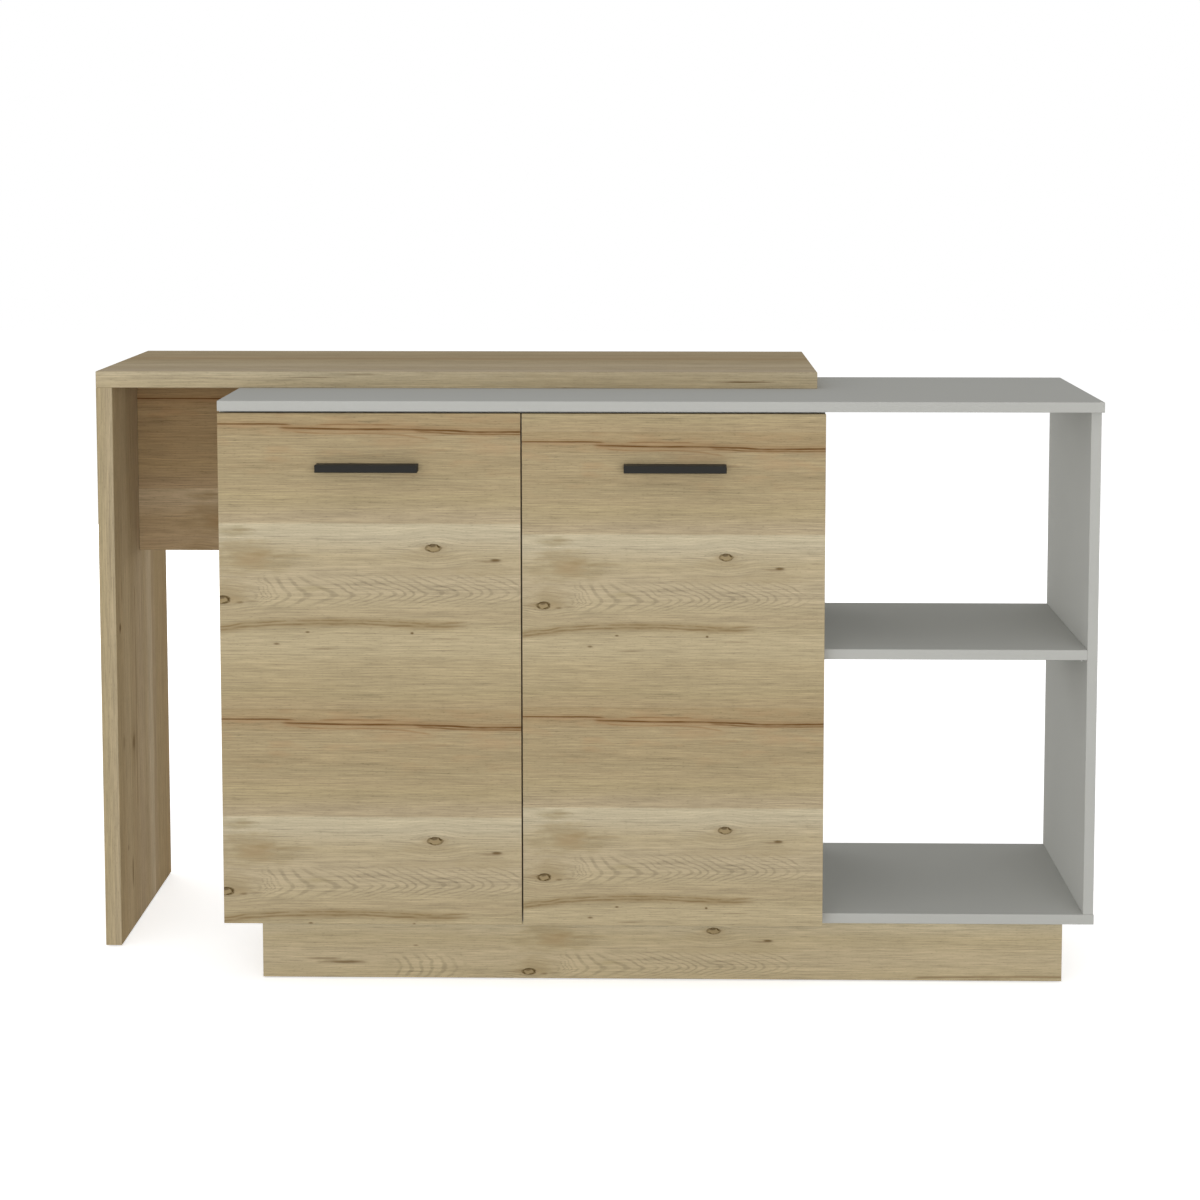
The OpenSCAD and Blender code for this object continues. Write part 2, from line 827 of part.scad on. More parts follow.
module arm_bend(neck_x) {
    translate([neck_x, pin_y + arm_t / 2 + bend_r, -eye_w / 2])
        intersection() {
            difference() {
                cylinder(r = bend_r + arm_t, h = eye_w);
                translate([0, 0, -1]) cylinder(r = bend_r, h = eye_w + 2);
            }
            translate([0, -bend_r - arm_t, 0]) cube([bend_r + arm_t, bend_r + arm_t, eye_w]);
        }
}

module arm_channel() {
    wall_h = tongue_h - 0.2;
    translate([arm_x, arm_start, -arm_w / 2]) cube([arm_t, arm_len - arm_start, arm_w]);
    for (side = [-1, 1])
        translate([arm_x - wall_h, arm_start, side < 0 ? -arm_w / 2 : arm_w / 2 - arm_t])
            cube([wall_h, arm_len - arm_start, arm_t]);
}

module hinge_cup() {
    ear_in = eye_w / 2 + ear_air;
    mouth_y = -door_gap;
    difference() {
        union() {
            translate([cup_x, mouth_y, 0]) rotate([90, 0, 0]) cylinder(r = cup_r, h = cup_depth);
            cup_flange(mouth_y);
        }
        difference() {
            translate([cup_x, mouth_y + flange_t + 1, 0]) rotate([90, 0, 0])
                cylinder(r = cup_inner_r, h = flange_t + 1 + cup_depth - cup_wall);
            for (side = [-1, 1])
                translate([0, mouth_y - cup_depth, side < 0 ? -ear_in - ear_t : ear_in])
                    cube([pin_inset + pin_r + 1.5, cup_depth - pin_depth + pin_r + 1, ear_t]);
        }
        translate([pin_inset, pin_y, -ear_in - ear_t]) cylinder(r = pin_r + pin_air,
                                                                h = 2 * (ear_in + ear_t));
        at_cup_screws() drill(screw_r, bite + flange_t);
    }
}

// The flange lies on the door's back, cut straight next to the door's edge
module cup_flange(y) {
    wing_x = cup_x + cup_screw_line;
    intersection() {
        union() {
            translate([cup_x, y + flange_t, 0]) rotate([90, 0, 0])
                cylinder(r = cup_r + flange_rim, h = flange_t);
            translate([wing_x - 6, y, -cup_screw_spread]) cube([12, flange_t, 2 * cup_screw_spread]);
            for (side = [-1, 1])
                translate([wing_x, y + flange_t, side * cup_screw_spread]) rotate([90, 0, 0])
                    cylinder(r = 6, h = flange_t);
        }
        translate([flange_start, y - 1, -50]) cube([60, flange_t + 2, 100]);
    }
}

module at_cup_screws() {
    for (side = [-1, 1])
        translate([cup_x + cup_screw_line, -door_gap + flange_t, side * cup_screw_spread])
            rotate(FRONT) children();
}

module hinge_pin() {
    length = eye_w + 2 * ear_air + 2 * ear_t - 0.2;
    translate([pin_inset, pin_y, -length / 2]) cylinder(r = pin_r, h = length);
}

module hinge_plates() {
    part_frame() color([0.75, 0.75, 0.76]) all_hinges() hinge_plate();
}

module hinge_plate_screws() {
    part_frame() color([0.7, 0.68, 0.6]) all_hinges() at_plate_screws()
        round_screw(screw_r, plate_t + bite);
}

module hinge_arms() {
    part_frame() color([0.75, 0.75, 0.76]) all_hinges() hinge_arm();
}

module hinge_arm_screws() {
    part_frame() color([0.75, 0.75, 0.76]) all_hinges() at_arm_screw()
        round_screw(arm_screw_r, arm_t + tongue_h - 0.2);
}

module hinge_pins() {
    part_frame() color([0.75, 0.75, 0.76]) all_hinges() hinge_pin();
}

// ---- Doors ----
// Both doors are drawn as the left one; the right one is its mirror image.

module right_hand() {
    translate([door_section_w, 0, 0]) mirror([1, 0, 0]) children();
}

handle_pitch = handle_w - handle_foot_w;
handle_x = door_w / 2 - handle_offset;
handle_z = door_z1 - handle_drop;

module door() {
    difference() {
        board([0, 0, door_z0], [door_w, door_t, door_z1 - door_z0]);
        left_hinges() {
            translate([cup_x, -door_gap + hole_air, 0]) rotate([90, 0, 0])
                cylinder(r = cup_r + hole_air, h = cup_depth + 2 * hole_air);
            at_cup_screws() drill(screw_r, flange_t + bite);
        }
        at_handle_screws() drill(handle_screw_r, door_t + handle_screw_bite);
    }
}

module at_handle_screws() {
    for (side = [-1, 1])
        translate([handle_x + side * handle_pitch / 2, door_t, handle_z]) rotate(FRONT) children();
}

// A lip and a top that reaches back to the door, open below for the fingertips
module handle() {
    corner = [handle_x - handle_w / 2, -handle_reach, handle_z - handle_h / 2];
    difference() {
        board(corner, [handle_w, handle_reach, handle_h]);
        translate(corner + [handle_foot_w, handle_wall, -hole_air])
            cube([handle_w - 2 * handle_foot_w, handle_reach - handle_wall + hole_air,
                  handle_h - handle_wall + hole_air]);
        at_handle_screws() drill(handle_screw_r, door_t + handle_screw_bite);
    }
}

module handle_screws() {
    at_handle_screws() round_screw(handle_screw_r, door_t + handle_screw_bite, 4, 2.2);
}

module bumpers() {
    x = door_w - 3 * bumper_r;
    for (z = [plinth_h + board_t / 2, rail_z + rail_h / 2])
        translate([x, door_t, z]) rotate(BACK) {
            cylinder(r = bumper_r, h = (door_gap - bumper_air) * 0.6);
            cylinder(r1 = bumper_r, r2 = bumper_r * 0.7, h = door_gap - bumper_air);
        }
}

module left_door() {
    part_frame() color([0.74, 0.65, 0.48]) door();
}

module left_handle() {
    part_frame() color([0.16, 0.16, 0.16]) handle();
}

module left_handle_screws() {
    part_frame() color([0.7, 0.68, 0.6]) handle_screws();
}

module left_hinge_cups() {
    part_frame() color([0.75, 0.75, 0.76]) left_hinges() hinge_cup();
}

module left_cup_screws() {
    part_frame() color([0.7, 0.68, 0.6]) left_hinges() at_cup_screws()
        round_screw(screw_r, flange_t + bite, screw_head_r, 0.8);
}

module left_door_bumpers() {
    part_frame() color([0.9, 0.9, 0.88]) bumpers();
}

module right_door() {
    part_frame() color([0.74, 0.65, 0.48]) right_hand() door();
}

module right_handle() {
    part_frame() color([0.16, 0.16, 0.16]) right_hand() handle();
}

module right_handle_screws() {
    part_frame() color([0.7, 0.68, 0.6]) right_hand() handle_screws();
}

module right_hinge_cups() {
    part_frame() color([0.75, 0.75, 0.76]) right_hinges() hinge_cup();
}

module right_cup_screws() {
    part_frame() color([0.7, 0.68, 0.6]) right_hinges() at_cup_screws()
        round_screw(screw_r, flange_t + bite, screw_head_r, 0.8);
}

module right_door_bumpers() {
    part_frame() color([0.9, 0.9, 0.88]) right_hand() bumpers();
}

top_panel();
bottom_panel();
left_side_panel();
partition_panel();
right_side_panel();
bay_shelf();
cupboard_shelf();
back_panel();
front_rail();
plinth_front();
plinth_back();
plinth_left_end();
plinth_right_end();
plinth_brace();
plinth_blocks();
plinth_block_screws();
plinth_glides();
tabletop();
leg_panel();
leg_glides();
apron_panel();
table_screws();
angle_brackets();
bracket_screws();
dowels();
cam_housings();
cam_bolts();
cam_caps();
confirmat_screws();
shelf_pins();
hinge_plates();
hinge_plate_screws();
hinge_arms();
hinge_arm_screws();
hinge_pins();
left_door();
left_handle();
left_handle_screws();
left_hinge_cups();
left_cup_screws();
left_door_bumpers();
right_door();
right_handle();
right_handle_screws();
right_hinge_cups();
right_cup_screws();
right_door_bumpers();
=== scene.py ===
import math

import bpy
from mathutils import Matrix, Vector

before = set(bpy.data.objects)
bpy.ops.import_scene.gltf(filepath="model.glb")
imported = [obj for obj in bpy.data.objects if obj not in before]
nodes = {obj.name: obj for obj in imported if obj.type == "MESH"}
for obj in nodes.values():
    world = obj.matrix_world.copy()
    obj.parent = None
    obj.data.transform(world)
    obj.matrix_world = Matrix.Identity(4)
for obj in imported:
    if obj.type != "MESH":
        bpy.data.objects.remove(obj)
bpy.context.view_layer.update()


# ---- values ---------------------------------------------------------------------------------
def srgb(r, g, b):
    """A colour written as 0 to 255 screen values, as Blender's linear colour."""

    def one(v):
        v = v / 255
        return v / 12.92 if v <= 0.04045 else ((v + 0.055) / 1.055) ** 2.4

    return (one(r), one(g), one(b), 1.0)


# The camera: place in metres, turns in degrees, lens in millimetres on a 36 mm sensor, and the
# shift as a share of the frame's width
CAM_PLACE = (0.1006, -3.492, 1.2333)
CAM_PITCH = -4.66
CAM_YAW = 0.94
CAM_LENS = 67.70
CAM_SENSOR = 36
CAM_SHIFT = (-0.0135, -0.22)
CAM_CLIP = (0.1, 60)

# Area lamps: place in metres and power in watts, all of one size and aimed at one point
LAMPS = {
    "front_left": ((-2.4, -4.6, 1.2), 31.0),
    "front_right": ((1.6, -4.9, 1.2), 66.0),
    "left": ((-4.6, -2.4, 1.5), 27.0),
    "top": ((0.4, -1.6, 4.2), 13.0),
    "back_left": ((-2.5, 3.2, 0.9), 68.0),
    "back_right": ((2.8, 3.0, 0.6), 24.0),
}
LAMP_AIM = (0.0, 0.0, 0.5)
LAMP_SIZE = (3.0, 2.0)
AMBIENT = 0.55  # the world's light on the object; the camera sees it white

FLOOR_HALF = 12.0
FLOOR_GREY = 0.92
FLOOR_GLOW = 0.55  # added to the floor for the camera alone

# Boards are matt: a gloss would turn their tops pale at a low angle
BOARD_SPECULAR = 0.0
# Multipliers on the broad faces of some boards, as shares of the print's own colour. On the apron,
# leg and plinth they are painted light: warm bounce light and brightening against shade. On the
# tabletop they make the faces a little paler and bluer
APRON_PAINTED_LIGHT = (1.08, 0.95, 0.86)
LEG_PAINTED_LIGHT = (1.04, 0.97, 0.94)
TABLE_TINT = (1.03, 1.03, 1.11)
PLINTH_PAINTED_LIGHT = (1.08, 1.08, 1.06)

MM = 1000.0  # millimetres in a metre
FACING = 0.72  # least share of a face's normal along an axis for the face to look that way


# ---- node helpers ---------------------------------------------------------------------------
class Graph:
    """Short calls that add shader nodes to one material or group."""

    def __init__(self, tree):
        self.tree = tree

    def node(self, kind, **settings):
        n = self.tree.nodes.new(kind)
        for key, value in settings.items():
            setattr(n, key, value)
        return n

    def put(self, socket, value):
        """Links a node's output to the socket, or sets the socket's own value."""
        if isinstance(value, bpy.types.NodeSocket):
            self.tree.links.new(value, socket)
        else:
            socket.default_value = value

    def math(self, op, a, b=0.0):
        n = self.node("ShaderNodeMath", operation=op)
        for socket, value in zip(n.inputs, (a, b)):
            self.put(socket, value)
        return n.outputs[0]

    def add(self, a, b):
        return self.math("ADD", a, b)

    def sub(self, a, b):
        return self.math("SUBTRACT", a, b)

    def mul(self, a, b):
        return self.math("MULTIPLY", a, b)

    def vector(self, x, y, z=0.0):
        n = self.node("ShaderNodeCombineXYZ")
        for socket, value in zip(n.inputs, (x, y, z)):
            self.put(socket, value)
        return n.outputs[0]

    def split(self, v):
        n = self.node("ShaderNodeSeparateXYZ")
        self.put(n.inputs[0], v)
        return n.outputs

    def ramp(self, value, low, high, to_low=0.0, to_high=1.0, smooth=True):
        """to_low at low and below, to_high at high and above, and a slope between."""
        n = self.node("ShaderNodeMapRange", clamp=True)
        n.interpolation_type = "SMOOTHSTEP" if smooth else "LINEAR"
        for socket, v in zip(n.inputs, (value, low, high, to_low, to_high)):
            self.put(socket, v)
        return n.outputs[0]

    def noise(self, v, scale=1.0, detail=2.0, rough=0.5):
        """Noise from about 0 to 1 at a vector."""
        n = self.node("ShaderNodeTexNoise", noise_dimensions="3D")
        self.put(n.inputs["Vector"], v)
        n.inputs["Scale"].default_value = scale
        n.inputs["Detail"].default_value = detail
        n.inputs["Roughness"].default_value = rough
        return n.outputs[0]

    def swing(self, value, size):
        """Turns 0 to 1 into -size / 2 to size / 2."""
        return self.mul(self.sub(value, 0.5), size)

    def window(self, value, low, rise, high, fall):
        """1 between low and high, sinking to 0 over rise below and fall above."""
        up = self.ramp(value, low - rise, low)
        down = self.ramp(value, high, high + fall, 1.0, 0.0)
        return self.mul(up, down)

    def shade(self, colour, gain):
        """The colour times one number."""
        return self.mix(1.0, colour, self.vector(gain, gain, gain), "MULTIPLY")

    def mix(self, factor, a, b, blend="MIX"):
        n = self.node("ShaderNodeMix", data_type="RGBA", blend_type=blend)
        self.put(n.inputs[0], factor)
        self.put(n.inputs[6], a)
        self.put(n.inputs[7], b)
        return n.outputs[2]

    def stops(self, value, table):
        """A colour ramp from a table of (place 0 to 1, colour)."""
        n = self.node("ShaderNodeValToRGB")
        ramp = n.color_ramp
        while len(ramp.elements) < len(table):
            ramp.elements.new(0.5)
        for e, (place, _) in zip(ramp.elements, table):
            e.position = place
        for e, (_, colour) in zip(ramp.elements, table):
            e.color = colour
        self.put(n.inputs[0], value)
        return n.outputs[0]

    def curve(self, value, points):
        """A smooth curve through points (x, y), both in the socket's own units."""
        n = self.node("ShaderNodeFloatCurve")
        low, high = points[0][0], points[-1][0]
        ys = [y for _, y in points]
        y0, y1 = min(ys), max(ys)
        line = n.mapping.curves[0]
        while len(line.points) < len(points):
            line.points.new(0.5, 0.5)
        for p, (x, y) in zip(line.points, points):
            p.location = ((x - low) / (high - low), (y - y0) / (y1 - y0))
        n.mapping.update()
        self.put(n.inputs["Value"], self.ramp(value, low, high, smooth=False))
        return self.add(self.mul(n.outputs[0], y1 - y0), y0)


# ---- the oak print --------------------------------------------------------------------------
# The print's own sheet: u runs along the grain, w across it, both in millimetres. It repeats
# across the grain every PRINT_PERIOD.
PRINT_PERIOD = 434.3
LIGHT_BAND = 161.1  # where the pale board of the print starts, with a sharp edge
BAND_EDGE = 0.8  # how near to that edge the colours of either side come

# Mean colour across the grain, every thirtieth of the period
PRINT_ROWS = [
    (164, 145, 111), (163, 143, 109), (168, 151, 118), (168, 151, 118), (167, 150, 117),
    (166, 149, 116), (168, 152, 119), (171, 154, 121), (170, 154, 120), (172, 156, 124),
    (174, 158, 129), (190, 178, 150), (187, 175, 148), (183, 169, 140), (177, 162, 131),
    (177, 162, 132), (179, 164, 135), (179, 164, 135), (177, 162, 132), (176, 161, 130),
    (174, 158, 127), (175, 160, 128), (182, 167, 135), (181, 166, 134), (178, 163, 131),
    (175, 159, 126), (173, 157, 124), (172, 156, 123), (170, 154, 120), (169, 151, 118),
]

# The grain's fine lines: length, width, seed, detail and share of the colour
GRAIN = [
    (34, 1.3, 2.0, 1.5, 0.60), (130, 2.1, 1.0, 2.0, 0.66), (170, 6.0, 5.0, 2.0, 0.28),
    (300, 22.0, 9.0, 1.0, 0.16),
]
# Scratches and pores: length, width, seed, the noise at which they start and are full, depth
PITS = [(60, 2.6, 31.0, 0.63, 0.72, 0.12), (7, 0.9, 8.0, 0.58, 0.76, 0.24)]

# Paths of the print's dark lines, each a run of (u, w) with its first and last u. The joint between
# two boards is drawn by the first four: it steps down where one line takes over from another.
JOINT_LEFT = [(-460, 12), (-200, 15), (0, 15.6), (60, 15.6), (88, 15.8), (112, 17.4)]
JOINT_RIGHT = [(84, 20), (100, 21.2), (155, 22.3), (205, 23.0), (252, 22.8), (286, 23.6),
               (342, 25.0), (392, 26.8), (440, 26.4), (700, 21), (920, 12), (1150, 18),
               (1400, 24), (1700, 16)]
JOINT_UPPER = [(138, 17.0), (190, 16.0), (260, 17.4)]
JOINT_LOWER = [(282, 26.0), (320, 27.8), (366, 29.8), (440, 30.0), (920, 20), (1150, 27),
               (1400, 33), (1700, 22)]
JOINT_RED = [(104, 26), (161, 29.3), (240, 29.5), (286, 34), (312, 38.5)]
# The olive streak below the knots, and a thin line that shows on the leg
STREAK = [(-460, 304), (-200, 328), (0, 315.6), (53, 309.5), (158, 306), (259, 308),
          (298, 309.8), (370, 305.0)]
FAR_LINE = [(640, 282), (720, 279), (938, 278), (1010, 280)]
BROWN = (104, 74, 42)
# The lines as drawn, one over the other: path, half thickness, strength, colour, seed, length
# of its fades, and where given how far it wanders, its least strength, how far it lies below
# the path, and over what length its ends fade
DARK_LINES = [
    (JOINT_LEFT, 7.0, 0.26, (160, 124, 88), 1.0, 120),
    (JOINT_RIGHT, 9.0, 0.34, (154, 118, 80), 1.0, 120),
    (JOINT_LEFT, 1.7, 0.95, BROWN, 1.0, 90, 1.6, 0.7),
    (JOINT_RIGHT, 2.3, 0.98, BROWN, 2.0, 60, 1.6, 0.65),
    (JOINT_UPPER, 1.8, 0.60, (124, 92, 58), 3.0, 50),
    (JOINT_LOWER, 1.9, 0.80, (118, 88, 54), 4.0, 50),
    (JOINT_RED, 2.0, 0.50, (140, 104, 68), 5.0, 50),
    (STREAK, 11.0, 0.58, (142, 122, 86), 6.0, 130, 3.0, 0.5, 0.0, 40),
    (STREAK, 2.4, 0.55, (118, 94, 60), 7.0, 40, 5.0, 0.2, 2.2, 30),
    (STREAK, 1.9, 0.50, (122, 98, 62), 9.0, 30, 6.0, 0.0, -2.6, 30),
    (FAR_LINE, 3.2, 0.60, (112, 88, 56), 8.0, 90),
]

# Knots with a ring: u, w, half length, half height, strength, tail length
KNOTS = [
    (311.9, 196.4, 11.5, 6.2, 1.0, 26),
    (4.0, 273.0, 12.0, 6.4, 0.95, 42),
]
# Knots without a ring, flakes and specks: u, w, half length, half height, darkness
SMUDGES = [
    (402, 214, 9, 2.6, 0.8), (392, 216, 26, 3.0, 0.4), (128, 320.4, 4.5, 2.0, 0.75),
    (280.5, 321.8, 3.2, 2.4, 0.85), (82.8, 337.9, 6, 2.2, 0.7), (150, 345, 22, 1.8, 0.35),
    (330, 330, 30, 1.4, 0.35), (30, 277, 7, 2.4, 0.5), (46, 275, 14, 1.8, 0.3),
    # on the plinth alone
    (-305, 257, 46, 3.6, 0.75), (-340, 251, 40, 2.6, 0.5), (-185, 226, 6, 2.4, 0.5),
    (-120, 336, 5, 2, 0.6),
    # on the leg alone
    (958, 378, 9, 7, 0.75), (758, 300, 17, 13, 0.5), (774, 365, 14, 9, 0.3),
    (553, 321, 30, 5, 0.7), (600, 349, 6, 4, 0.45), (1016, 364, 26, 4, 0.35),
    # on the tabletop's front edge alone
    (2220, 199, 46, 1.6, 0.4), (2290, 194, 46, 1.6, 0.4), (2885, 205, 58, 1.5, 0.8),
]
# Soft brown clouds: u, w, half length, half height, strength, colour
CLOUDS = [
    (50, 213, 34, 15, 0.45, (170, 140, 104)), (22, 172, 34, 8, 0.5, (150, 134, 98)),
    (30, 190, 46, 8, 0.4, (152, 134, 98)), (14, 262, 40, 22, 0.4, (150, 132, 96)),
    (40, 200, 60, 12, 0.35, (146, 128, 92)), (300, 206, 50, 10, 0.3, (158, 140, 106)),
    (300, 232, 90, 9, 0.2, (160, 142, 108)), (200, 20, 90, 12, 0.3, (170, 134, 96)),
    (270, 40, 60, 14, 0.3, (172, 140, 104)), (400, 50, 50, 12, 0.3, (172, 140, 106)),
    (140, 256, 26, 5, 0.35, (150, 136, 96)), (110, 400, 80, 16, 0.15, (160, 140, 104)),
    (45, 219, 80, 20, 0.40, (152, 136, 100)), (395, 230, 64, 12, 0.32, (156, 140, 106)),
    (100, 208, 34, 3, 0.35, (140, 120, 84)), (25, 171, 30, 2.4, 0.35, (140, 122, 86)),
    (755, 303, 44, 26, 0.35, (146, 126, 92)), (2720, 200, 330, 34, 0.3, (158, 140, 106)),
]
# Nested arrow heads of the grain: (u, count of heads up to there), the stretches of u where
# they are seen, their middle line (w where u is 0, and its slope), and how blunt they are
ARROW_COUNT = [(-230, -13), (-80, -5), (50, 0), (80, 4.3), (130, 6.2), (200, 8.3), (250, 11.2),
               (400, 19.2), (470, 23)]
ARROW_STRETCHES = [(62, 440), (-212, -120)]
ARROW_LINE = (268.0, -0.014)
ARROW_BLUNT = 22.0
ARROW_TIP = 4.7  # about the root of ARROW_BLUNT


class Print(Graph):
    """The oak print. u and w are a point's place on the sheet, and grain_w is its place across
    the grain, which bends. Each painting step takes the colour so far and returns it changed."""

    def __init__(self, tree, place):
        super().__init__(tree)
        self.u, w_raw, _ = self.split(place)
        repeat = self.math("FLOOR", self.math("DIVIDE", w_raw, PRINT_PERIOD))
        self.w = self.sub(w_raw, self.mul(repeat, PRINT_PERIOD))
        self.grain_w = self.bent_grain()
        self.ragged = self.swing(self.spots(26, 7, 21.0, 2.0), 1.5)

    def spots(self, along, across, seed, detail=1.0, over=None):
        """Noise whose spots are about along x across millimetres, over w or another place."""
        over = self.w if over is None else over
        at = self.vector(self.mul(self.u, 1 / along), self.mul(over, 1 / across), seed)
        return self.noise(at, 1.0, detail)

    def fades(self, along, seed):
        """Noise along the grain alone."""
        return self.noise(self.vector(self.mul(self.u, 1 / along), seed, 0.0), 1.0, 2.0)

    def oval(self, at_u, at_w, half_u, half_w):
        """Distance from a point, 1 at the edge of an oval of these half sizes."""
        a = self.mul(self.sub(self.u, at_u), 1 / half_u)
        b = self.mul(self.sub(self.w, at_w), 1 / half_w)
        return self.math("SQRT", self.add(self.mul(a, a), self.mul(b, b)))

    def bent_grain(self):
        """w with the gentle bends of the grain, which also passes round each knot."""
        bent = self.add(self.w, self.swing(self.spots(260, 90, 3.0), 3.5))
        for at_u, at_w, half_u, half_w, strength, _ in KNOTS:
            du = self.sub(self.u, at_u)
            dw = self.sub(self.w, at_w)
            along = self.mul(self.mul(du, du), -1 / (3.2 * half_u) ** 2)
            across = self.mul(self.mul(dw, dw), 1 / (3.4 * half_w) ** 2)
            near = self.math("POWER", math.e, self.sub(along, across))
            bent = self.sub(bent, self.mul(near, self.mul(dw, 0.75 * strength)))
        return bent

    def board_colour(self):
        """Mean colour across the grain; the edge of the light band stays sharp and straight."""
        soft_w = self.add(self.w, self.swing(self.spots(190, 34, 7.0, 2.0), 22.0))
        above = self.math("LESS_THAN", self.w, LIGHT_BAND)
        keep_above = self.math("MINIMUM", soft_w, LIGHT_BAND - BAND_EDGE)
        keep_below = self.math("MAXIMUM", soft_w, LIGHT_BAND + BAND_EDGE)
        row = self.add(
            self.mul(above, keep_above), self.mul(self.sub(1.0, above), keep_below)
        )
        row = self.math("MINIMUM", self.math("MAXIMUM", row, 1.0), PRINT_PERIOD - 1)
        count = len(PRINT_ROWS)
        table = [((i + 0.5) / count, srgb(*c)) for i, c in enumerate(PRINT_ROWS)]
        edge = LIGHT_BAND / PRINT_PERIOD
        before = [colour for place, colour in table if place < edge][-1]
        after = [colour for place, colour in table if place >= edge][0]
        table += [(edge - 0.0005, before), (edge + 0.0005, after)]
        table.sort(key=lambda stop: stop[0])
        return self.stops(self.math("DIVIDE", row, PRINT_PERIOD), table)

    def grain_lines(self):
        """Fine lines of the grain at several widths, broken up along their length."""
        lines = 0.0
        for along, across, seed, detail, share in GRAIN:
            tone = self.spots(along, across, seed, detail, self.grain_w)
            lines = self.add(lines, self.swing(tone, share))
        for along, across, seed, start, full, depth in PITS:
            tone = self.spots(along, across, seed, 1.0, self.grain_w)
            lines = self.sub(lines, self.ramp(tone, start, full, 0.0, depth))
        return lines

    def arrow_heads(self):
        """Nested arrow-head grain above the streak, its points to the right."""
        side = self.sub(self.w, self.add(ARROW_LINE[0], self.mul(self.u, ARROW_LINE[1])))
        swept = self.ramp(self.u, 60, 130, 0.9, 1.0)
        slope = self.add(
            self.ramp(self.u, 60, 150, 0.7, 2.6), self.math("GREATER_THAN", side, 0.0)
        )
        back = self.math("SQRT", self.add(self.mul(side, side), ARROW_BLUNT))
        back = self.sub(back, ARROW_TIP)
        reach = self.add(self.u, self.mul(back, self.mul(slope, swept)))
        reach = self.add(reach, self.swing(self.spots(55, 24, 4.0), 30.0))
        reach = self.add(reach, self.swing(self.spots(6, 3.0, 6.0), 6.0))
        heads = self.curve(reach, ARROW_COUNT)
        crest = self.ramp(self.math("SINE", self.mul(heads, 2 * math.pi)), 0.1, 1.0)
        seen = 0.0
        for first, last in ARROW_STRETCHES:
            seen = self.math("MAXIMUM", self.window(self.u, first, 16, last - 20, 50), seen)
        seen = self.mul(self.window(side, -18, 18, 8, 15), seen)
        seen = self.mul(seen, self.ramp(self.spots(38, 14, 15.0), 0.30, 0.62, 0.45, 1.0))
        return self.mul(self.mul(self.sub(crest, 0.25), seen), 0.24)

    def clouds(self, colour):
        for at_u, at_w, half_u, half_w, strength, tone in CLOUDS:
            d = self.add(self.oval(at_u, at_w, half_u, half_w), self.ragged)
            colour = self.mix(self.ramp(d, 0.1, 1.2, strength, 0.0), colour, srgb(*tone))
        return colour

    def blush(self, colour):
        """A faint blush where the board under the joint is redder."""
        patch = self.ramp(self.spots(60, 16, 12.0, 2.0), 0.52, 0.72)
        patch = self.mul(patch, self.window(self.w, 0, 1, 60, 60))
        return self.mix(self.mul(patch, 0.3), colour, srgb(172, 142, 106))

    def dark_line(self, colour, path, thick, strength, tint, seed, along, wander=1.6,
                  least=0.5, lower=0.0, rise=16):
        first, last = path[0][0], path[-1][0]
        place = self.add(self.curve(self.u, path), self.swing(self.fades(45, seed), wander))
        away = self.math("ABSOLUTE", self.sub(self.w, self.add(place, lower)))
        away = self.add(away, self.mul(self.ragged, 0.14 * thick))
        body = self.ramp(away, 0.2 * thick, thick, 1.0, 0.0)
        fade = self.ramp(self.fades(along, seed + 5.0), 0.32, 0.60, least, 1.0)
        body = self.mul(body, fade)
        body = self.mul(body, self.window(self.u, first + rise, rise, last - rise, rise))
        return self.mix(self.mul(body, strength), colour, srgb(*tint))

    def knot(self, colour, at_u, at_w, half_u, half_w, strength, tail):
        """A tail along the grain, a brown heart with a paler cap, and a thin broken ring."""
        rough = self.spots(7, 5, at_u, 2.0)
        d = self.add(self.oval(at_u, at_w, half_u, half_w), self.swing(rough, 0.7))
        glow = self.oval(at_u, at_w, tail, half_w * 1.2)
        glow = self.ramp(glow, 0.15, 1.1, 0.4 * strength, 0.0)
        colour = self.mix(glow, colour, srgb(140, 116, 78))
        cap = self.oval(
            at_u - 0.10 * half_u, at_w - 0.58 * half_w, 0.62 * half_u, 0.46 * half_w
        )
        cap = self.ramp(self.add(cap, self.swing(rough, 0.9)), 0.4, 1.1)
        heart = self.mix(cap, srgb(74, 56, 32), srgb(150, 132, 96))
        colour = self.mix(self.ramp(d, 0.80, 1.05, 0.72 * strength, 0.0), colour, heart)
        ring = self.window(d, 0.80, 0.18, 0.94, 0.18)
        ring = self.mul(ring, self.ramp(rough, 0.35, 0.6, 0.35, 1.0))
        return self.mix(self.mul(ring, 0.92 * strength), colour, srgb(72, 54, 28))

    def smudge(self, colour, at_u, at_w, half_u, half_w, darkness):
        d = self.add(self.oval(at_u, at_w, half_u, half_w), self.mul(self.ragged, 0.5))
        return self.mix(self.ramp(d, 0.2, 1.15, darkness, 0.0), colour, srgb(98, 76, 46))


def oak_group():
    """The print as a node group: (u, w) in millimetres in, colour and height out."""
    group = bpy.data.node_groups.new("oak_print", "ShaderNodeTree")
    face = group.interface
    face.new_socket("Place", in_out="INPUT", socket_type="NodeSocketVector")
    face.new_socket("Color", in_out="OUTPUT", socket_type="NodeSocketColor")
    face.new_socket("Height", in_out="OUTPUT", socket_type="NodeSocketFloat")
    start = group.nodes.new("NodeGroupInput")
    end = group.nodes.new("NodeGroupOutput")
    p = Print(group, start.outputs[0])
    lines = p.sub(p.grain_lines(), p.arrow_heads())
    colour = p.shade(p.board_colour(), p.add(1.0, lines))
    colour = p.blush(p.clouds(colour))
    for line in DARK_LINES:
        colour = p.dark_line(colour, *line)
    for knot in KNOTS:
        colour = p.knot(colour, *knot)
    for smudge in SMUDGES:
        colour = p.smudge(colour, *smudge)
    p.put(end.inputs[0], colour)
    p.put(end.inputs[1], p.add(lines, 0.5))
    return group


OAK = oak_group()


